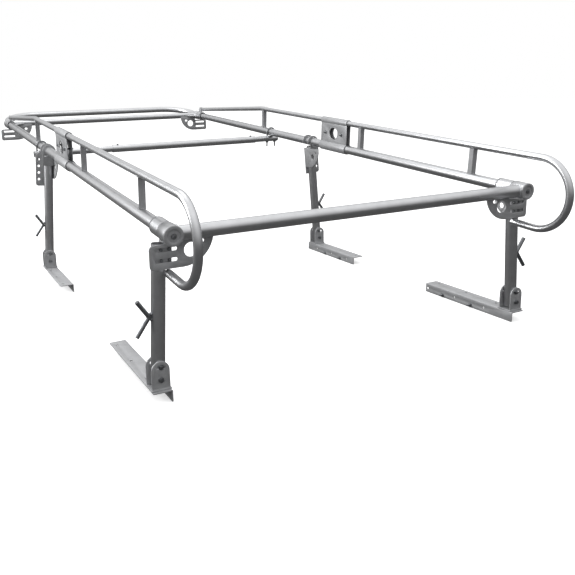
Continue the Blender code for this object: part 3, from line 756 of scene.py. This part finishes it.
kink = FRONT_BAR_Y + SLEEVE_BACK + 0.012
bow_corners = [
    (-RAIL_X, kink, 0), (-RAIL_X, BOW_Y, BOW_RISE), (RAIL_X, BOW_Y, BOW_RISE), (RAIL_X, kink, 0),
]
bow_path = [(-RAIL_X, FRONT_BAR_Y + 0.013, 0)]
bow_path += soft_corners(bow_corners, BOW_BEND, 16)
bow_path += [(RAIL_X, FRONT_BAR_Y + 0.013, 0)]
bm = bmesh.new()
sweep(bm, bow_path, BOW_RADIUS)
bmesh.ops.transform(bm, matrix=RACK, verts=bm.verts)
to_piece("front_bow_tube", bm, anodised_tube, "rack", ["front_bow"])


# ---- Mid crossbar ------------------------------------------------------------------------------
# A telescoping tube hung under the side rails. A thinner tube slides out of each end, and a U-bolt
# over the rail with a washer and nut below each leg holds it anywhere along the rack.
MID_END_RADIUS = 0.019
MID_BAR_RADIUS = MID_END_RADIUS + 0.0035
mid_low, mid_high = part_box("mid_crossbar")
mid_centre = RACK.inverted() @ ((Vector(mid_low) + Vector(mid_high)) / 2)
mid_y, mid_z = mid_centre.y, mid_centre.z
MID_WIDE = {"left": mid_low[0], "right": mid_high[0]}

bm = bmesh.new()
sweep(bm, [(MID_WIDE["left"], mid_y, mid_z), (MID_WIDE["right"], mid_y, mid_z)], MID_BAR_RADIUS)
hollow_ends(bm, 0.012, 0.003)
bmesh.ops.transform(bm, matrix=RACK, verts=bm.verts)
to_piece("mid_crossbar_tube", bm, anodised_tube, "mid_bar", ["mid_crossbar"])

U_ROD = 0.0045
U_END = -0.098
u_leg = RAIL_RADIUS + 0.001 + U_ROD
for hand, side in SIDES.items():
    bm = bmesh.new()
    start = MID_WIDE[hand] - side * 0.020
    sweep(bm, [(start, mid_y, mid_z), (side * (RAIL_X + 0.048), mid_y, mid_z)], MID_END_RADIUS, 32)
    hollow_ends(bm, 0.030, 0.003)
    bmesh.ops.transform(bm, matrix=RACK, verts=bm.verts)
    name = f"mid_crossbar_end_{hand}"
    to_piece(name + "_tube", bm, anodised_tube, "mid_bar", [name])

    bm = bmesh.new()
    hoop = [(side * RAIL_X - u_leg, mid_y, U_END), (side * RAIL_X - u_leg, mid_y, -0.001)]
    hoop += [(side * RAIL_X + u, mid_y, v) for u, v in arc((0, 0), u_leg, pi, 0, 20)]
    hoop += [(side * RAIL_X + u_leg, mid_y, -0.001), (side * RAIL_X + u_leg, mid_y, U_END)]
    sweep(bm, hoop, U_ROD, 16)
    downward = Matrix.Rotation(pi, 4, "X")
    for shift in (-u_leg, u_leg):
        under = at(side * RAIL_X + shift, mid_y, mid_z - MID_END_RADIUS, downward)
        hex_head(bm, under, 0.013, 0.007, 0.0105, thread=0.019)
    bmesh.ops.transform(bm, matrix=RACK, verts=bm.verts)
    name = f"mid_u_bolt_{hand}"
    to_piece(name + "_rod", bm, zinc_plate, "mid_bar", [name])

    bm = bmesh.new()
    lock = at(MID_WIDE[hand] - side * 0.035, mid_y, mid_z + MID_END_RADIUS + 0.0033)
    hex_head(bm, lock, 0.010, 0.005, 0.0075)
    bmesh.ops.transform(bm, matrix=RACK, verts=bm.verts)
    to_piece(f"mid_lock_screw_{hand}", bm, zinc_plate, "mid_bar")


# ---- Legs --------------------------------------------------------------------------------------
# Four 50 mm tubes. Each leans out a little, from under its rail to the pivot of its foot.
LEG_RADIUS = 0.025
LEG_WALL = 0.003
REAR_LEG_OUT = 0.018
FRONT_LEG_Y = {"left": 1.960, "right": 1.640}
# The profile of a thin collar on the front and back of each leg, at its lock bolt.
LEG_COLLAR = [
    (0.0095, -0.004), (0.0095, 0.0006), (0.0080, 0.0009), (0.0065, 0.0004), (0.0065, -0.004),
]


def leg_place(end, hand):
    """The leg's own frame, with its top at the origin and the foot pivot on -Z, and its length."""
    side = SIDES[hand]
    low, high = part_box(f"{end}_{hand}_pivot_bolt")
    pivot = (Vector(low) + Vector(high)) / 2
    if end == "rear":
        top = RACK.translation + Vector((side * (RAIL_X + REAR_LEG_OUT), REAR_LEG_Y, 0))
    else:
        top = RACK @ Vector((side * RAIL_X, FRONT_LEG_Y[hand], 0))
    lean = atan2(pivot.x - top.x, top.z - pivot.z)
    place = Matrix.Translation(top) @ Matrix.Rotation(-lean, 4, "Y")
    return place, hypot(pivot.x - top.x, top.z - pivot.z)


for end, start in (("rear", 0.040), ("front", 0.029)):
    for hand, side in SIDES.items():
        place, length = leg_place(end, hand)
        bm = bmesh.new()
        sweep(bm, [(0, 0, -start), (0, 0, -(length + 0.022))], LEG_RADIUS)
        hollow_ends(bm, 0.040, LEG_WALL)
        for face, facing in ((-1, UPRIGHT_XZ), (1, ALONG_Y)):
            spot = at(0, face * (LEG_RADIUS - 0.0002), -(length - 0.048), facing)
            turned(bm, LEG_COLLAR, spot, 20)
        bmesh.ops.transform(bm, matrix=place, verts=bm.verts)
        to_piece(
            f"{end}_{hand}_leg_tube", bm, anodised_tube, f"{end}_leg_{hand}",
            [f"{end}_{hand}_leg"],
        )


# ---- Tie-down hooks ----------------------------------------------------------------------------
# A bent 16 mm steel bar welded to the outer side of each leg, for rope.
HOOK_ROD = 0.008
HOOK_HEIGHT = 0.216
HOOK_REACH = 0.050

for end in ("rear", "front"):
    for hand, side in SIDES.items():
        place, length = leg_place(end, hand)
        middle = -(length - HOOK_HEIGHT)
        root, tip = side * (LEG_RADIUS + HOOK_ROD), side * (LEG_RADIUS + HOOK_REACH)
        runs = [(tip, 0, middle + 0.056), (root - side * 0.001, 0, middle)]
        runs += [(tip, 0, middle - 0.068)]
        path = soft_corners(runs, 0.010, 10)
        first = path[0] + (path[0] - path[1]).normalized() * 0.0006
        last = path[-1] + (path[-1] - path[-2]).normalized() * 0.0006
        rounded = HOOK_ROD - 0.0007
        bm = bmesh.new()
        sweep(bm, [first] + path + [last], [rounded] + [HOOK_ROD] * len(path) + [rounded], 24)
        for lift in (-0.009, 0.009):
            bead = [
                (side * (LEG_RADIUS + 0.0012), 0.0075 * cos(t), middle + lift + 0.004 * sin(t))
                for t in [2 * pi * i / 20 for i in range(20)]
            ]
            weld_ring(bm, bead, 0.0019)
        bmesh.ops.transform(bm, matrix=place, verts=bm.verts)
        to_piece(
            f"{end}_{hand}_tie_hook_rod", bm, zinc_plate, f"{end}_leg_{hand}",
            [f"{end}_{hand}_tie_hook"],
        )


# ---- Rear leg heads ----------------------------------------------------------------------------
# A plate on the back of each rear leg bolts through the slots of the corner bracket, and a
# quarter-round gusset with lightening holes braces it on the inner side.
GUSSET_WALL = 0.005
GUSSET_SET = 0.0033

for hand, side in SIDES.items():
    place, _ = leg_place("rear", hand)
    back = -(LEG_RADIUS + 0.0005 + PLATE / 2)
    high, low = -0.040, -0.120
    mirror = Matrix.Scale(side, 4, (1, 0, 0))
    bm = bmesh.new()
    face = [(-0.036, low + 0.004), (-0.032, low), (0.026, low)]
    face += arc((0.026, low + 0.008), 0.008, -pi / 2, 0, 5)[1:]
    face += [(0.034, high), (-0.036, high)]
    plate(bm, face, [], PLATE, at(0, back, 0, UPRIGHT_XZ) @ mirror, 0.0009)
    crest = high - 0.001
    gusset = [(back, crest), (0.068, crest)]
    gusset += arc((-0.010, crest), 0.078, 0, radians(-76), 28)[1:]
    gusset += [(back, crest - 0.078)]
    holes = [ring((0.030, -0.075), 0.012), ring((0.050, -0.056), 0.005)]
    gusset_place = at(-side * (LEG_RADIUS + GUSSET_SET), 0, 0, UPRIGHT_YZ)
    plate(bm, gusset, holes, GUSSET_WALL, gusset_place, 0.0009)
    bead_x = -side * (LEG_RADIUS + 0.0008)
    for shift in (-0.008, 0.008):
        weld_line(bm, [(bead_x, shift, high - 0.004 - 0.0042 * i) for i in range(17)], 0.0018)
    bmesh.ops.recalc_face_normals(bm, faces=bm.faces)
    bmesh.ops.transform(bm, matrix=place, verts=bm.verts)
    to_piece(
        f"rear_{hand}_leg_head_plate", bm, coated_plate, f"rear_leg_{hand}",
        [f"rear_{hand}_leg_head"],
    )

    # The studs start flush with the back of the bracket and run forward through the head plate.
    stud = [(0, -0.0030), (0.0048, -0.0030), (0.0052, -0.0024), (0.0052, 0.010), (0, 0.010)]
    stud_y = CROSSBAR_RADIUS + BRACKET_SET
    bm = bmesh.new()
    for z in (-0.056, -0.092):
        spot = RACK.translation + Vector((side * (RAIL_X - 0.004), stud_y, z))
        for step in (0, 0.028):
            turned(bm, stud, Matrix.Translation(spot + Vector((side * step, 0, 0))) @ ALONG_Y, 20)
    to_piece(f"rear_{hand}_slot_studs", bm, zinc_plate, f"rear_leg_{hand}")


# ---- Front leg hangers -------------------------------------------------------------------------
# A perforated strap hooks over the side rail ahead of each front leg, a second hook clips over it
# behind, and a round-bottomed gusset braces the leg. Together they slide along the rail.
for hand, side in SIDES.items():
    place, _ = leg_place("front", hand)
    mirror = Matrix.Scale(side, 4, (1, 0, 0))
    ahead = LEG_RADIUS + 0.0005 + PLATE / 2
    rail, low = RAIL_RADIUS + 0.0012, -0.205
    rim = rail + 0.012
    centre = (0, ahead * tan(RISE))
    outline = arc(centre, rail, radians(200), radians(-24), 28)
    outline += [(rail + 0.001, -0.040), (-0.031, -0.040), (-0.031, low)]
    outline += arc((0.052, low + 0.014), 0.014, -pi / 2, 0, 8)
    outline += [(0.066, -0.030)]
    outline += arc(centre, rim, radians(-10), radians(200), 30)
    holes = [ring((0.049, -0.052 - 0.038 * i), 0.007, steps=20) for i in range(4)]
    bm = bmesh.new()
    plate(bm, outline, holes, PLATE, at(0, ahead, 0, UPRIGHT_XZ) @ mirror, 0.0008)
    centre = (0, -ahead * tan(RISE))
    clip = arc(centre, rail, radians(200), radians(-20), 28)
    clip += [(rail + 0.001, -0.033), (-0.026, -0.033), (-0.026, -0.085), (0.036, -0.085)]
    clip += arc(centre, rim, radians(-12), radians(200), 30)
    plate(bm, clip, [], PLATE, at(0, -ahead, 0, UPRIGHT_XZ) @ mirror, 0.0008)
    crest = -0.041
    gusset = [(ahead, crest), (-0.130, crest)]
    gusset += arc((-0.010, crest), 0.120, pi, radians(268), 26)[1:]
    gusset += [(ahead, crest - 0.120)]
    holes = [ring((-0.062, crest - 0.050), 0.016), ring((-0.100, crest - 0.024), 0.007)]
    gusset_place = at(-side * (LEG_RADIUS + GUSSET_SET), 0, 0, UPRIGHT_YZ)
    plate(bm, gusset, holes, GUSSET_WALL, gusset_place, 0.0009)
    bmesh.ops.recalc_face_normals(bm, faces=bm.faces)
    bmesh.ops.transform(bm, matrix=place, verts=bm.verts)
    to_piece(
        f"front_{hand}_leg_hanger", bm, coated_plate, f"front_leg_{hand}",
        [f"front_{hand}_leg_bracket"],
    )


# ---- Feet --------------------------------------------------------------------------------------
# Each foot is a welded clevis: a base and two round-topped ears. The lower bolt is the pivot, and
# a lock bolt in the curved slot above it holds the tilt.
CLEVIS_WALL = 0.005
EAR_HALF = 0.033
EAR_HEIGHT = 0.100
PIVOT_RISE = 0.034
LOCK_RADIUS = 0.045


def curved_slot(centre, radius, height, middle, spread, steps=14):
    """A slot that follows an arc about the pivot."""
    start, end = middle - spread, middle + spread
    first = (centre[0] + radius * cos(start), centre[1] + radius * sin(start))
    last = (centre[0] + radius * cos(end), centre[1] + radius * sin(end))
    return (
        arc(centre, radius + height / 2, start, end, steps)
        + arc(last, height / 2, end, end + pi, 6)[1:-1]
        + arc(centre, radius - height / 2, end, start, steps)
        + arc(first, height / 2, start + pi, start + 2 * pi, 6)[1:-1]
    )


for end in ("rear", "front"):
    for hand, side in SIDES.items():
        low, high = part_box(f"{end}_{hand}_pivot_bolt")
        pivot = (Vector(low) + Vector(high)) / 2
        base = pivot.z - PIVOT_RISE - CLEVIS_WALL
        ear_y = LEG_RADIUS + 0.0012 + CLEVIS_WALL / 2
        hinge_z = CLEVIS_WALL + PIVOT_RISE
        crown = CLEVIS_WALL + EAR_HEIGHT - EAR_HALF
        outline = [(-EAR_HALF, 0.001), (EAR_HALF, 0.001)] + arc((0, crown), EAR_HALF, 0, pi, 28)
        holes = [ring((0, hinge_z), 0.0063, steps=20)]
        holes += [curved_slot((0, hinge_z), LOCK_RADIUS, 0.011, pi / 2, radians(16))]
        bm = bmesh.new()
        for face in (-1, 1):
            ear_place = at(pivot.x, pivot.y + face * ear_y, base, UPRIGHT_XZ)
            plate(bm, outline, holes, CLEVIS_WALL, ear_place, 0.0009)
        wide, deep = EAR_HALF + 0.004, ear_y + CLEVIS_WALL / 2 + 0.003
        base_outline = [(-wide, -deep), (wide, -deep), (wide, deep), (-wide, deep)]
        base_place = at(pivot.x, pivot.y, base + CLEVIS_WALL / 2)
        plate(bm, base_outline, [], CLEVIS_WALL, base_place, 0.0009)
        bead_x, bead_z = pivot.x - EAR_HALF + 0.002, base + CLEVIS_WALL + 0.0006
        for face in (-1, 1):
            bead_y = pivot.y + face * (ear_y + CLEVIS_WALL / 2 + 0.0006)
            weld_line(bm, [(bead_x + 0.0042 * i, bead_y, bead_z) for i in range(16)], 0.0016)
        name = f"{end}_{hand}_clevis"
        to_piece(
            name + "_welded", bm, coated_plate, f"{end}_foot_{hand}", [name]
        )

        bm = bmesh.new()
        reach = ear_y + CLEVIS_WALL / 2
        clear = reach + 0.0003
        shank = [(0, -clear), (0.006, -clear), (0.006, clear), (0, clear)]
        turned(bm, shank, Matrix.Translation(pivot) @ ALONG_Y, 24)
        for face, facing in ((-1, UPRIGHT_XZ), (1, ALONG_Y)):
            head_place = Matrix.Translation(pivot + Vector((0, face * reach, 0))) @ facing
            hex_head(bm, head_place, 0.0165, 0.0064, 0.0100)
        name = f"{end}_{hand}_pivot_bolt"
        to_piece(name + "_hex", bm, zinc_plate, f"{end}_foot_{hand}", [name])

        # The lock bolt goes through the leg, so it follows the leg along the curved slot.
        place, length = leg_place(end, hand)
        bm = bmesh.new()
        shank = [(0, -reach), (0.0048, -reach), (0.0048, reach), (0, reach)]
        spot = (place @ at(0, 0, -(length - LOCK_RADIUS))).translation
        turned(bm, shank, Matrix.Translation(spot) @ ALONG_Y, 20)
        for face, facing, thread in ((-1, UPRIGHT_XZ, 0.0), (1, ALONG_Y, 0.005)):
            head_place = Matrix.Translation(spot + Vector((0, face * clear, 0))) @ facing
            hex_head(bm, head_place, 0.013, 0.0055, 0.0098, thread)
        to_piece(
            f"{end}_{hand}_lock_bolt", bm, zinc_plate, f"{end}_leg_{hand}"
        )


# ---- Bed angles --------------------------------------------------------------------------------
# Long pressed angles that carry the feet along the bed rail. The flat top flange lies on the rail,
# the narrow flange hangs inside the bed, and both are drilled for bolts and clamps.
FLANGE_WALL = 0.004
FLANGE_WIDTH = 0.070
FLANGE_DROP = 0.040
HOLE_SHIFT = {"rear": 0.045, "front": -0.045}
HOLE_SHARES = (-0.46, 0.0, 0.46)
CLAMP_SHARES = (-0.24, 0.22)

for end in ("rear", "front"):
    for hand, side in SIDES.items():
        low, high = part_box(f"{end}_{hand}_bed_angle")
        inner = low[0] if side > 0 else high[0]
        top, start, stop = high[2], low[1], high[1]
        length, centre = stop - start, (start + stop) / 2
        half = length / 2
        shift = HOLE_SHIFT[end]
        spread = length - 0.145
        mirror = Matrix.Scale(side, 4, (1, 0, 0))
        bm = bmesh.new()
        flat = [(0.002, -half), (FLANGE_WIDTH - 0.004, -half), (FLANGE_WIDTH, -half + 0.004)]
        flat += [(FLANGE_WIDTH, half - 0.004), (FLANGE_WIDTH - 0.004, half), (0.002, half)]
        holes = [ring((0.048, shift + spread * share), 0.006, steps=20) for share in HOLE_SHARES]
        flat_place = at(inner, centre, top - FLANGE_WALL / 2) @ mirror
        plate(bm, flat, holes, FLANGE_WALL, flat_place, 0.0007)
        drop = FLANGE_DROP + FLANGE_WALL
        hung = [(-half, -drop + 0.003), (-half + 0.003, -drop), (half - 0.003, -drop)]
        hung += [(half, -drop + 0.003), (half, -0.0022), (-half, -0.0022)]
        holes = [
            ring((shift + spread * share + 0.030, -0.024), 0.006, steps=20)
            for share in HOLE_SHARES
        ]
        hung_place = at(inner + side * FLANGE_WALL / 2, centre, top, UPRIGHT_YZ)
        plate(bm, hung, holes, FLANGE_WALL, hung_place, 0.0007)
        # The pressed bend between the two flanges.
        bend = arc((0.004, -0.004), 0.004, pi / 2, pi, 8)
        bend += [(0.002, -0.006), (0.006, -0.004), (0.006, -0.002)]
        plate(bm, bend, [], length, at(inner, centre, top, UPRIGHT_XZ) @ mirror, 0.0)
        bmesh.ops.recalc_face_normals(bm, faces=bm.faces)
        name = f"{end}_{hand}_bed_angle"
        to_piece(
            name + "_pressed", bm, coated_plate, f"{end}_foot_{hand}", [name]
        )

        bm = bmesh.new()
        for share in CLAMP_SHARES:
            spot = Vector((inner, centre + shift + spread * share + 0.020, top - 0.032))
            facing = ALONG_X.inverted() if side > 0 else ALONG_X
            hex_head(bm, Matrix.Translation(spot) @ facing, 0.013, 0.008, 0.0095, thread=0.008)
        to_piece(
            f"{end}_{hand}_bed_clamp_bolts", bm, zinc_plate,
            f"{end}_foot_{hand}",
        )
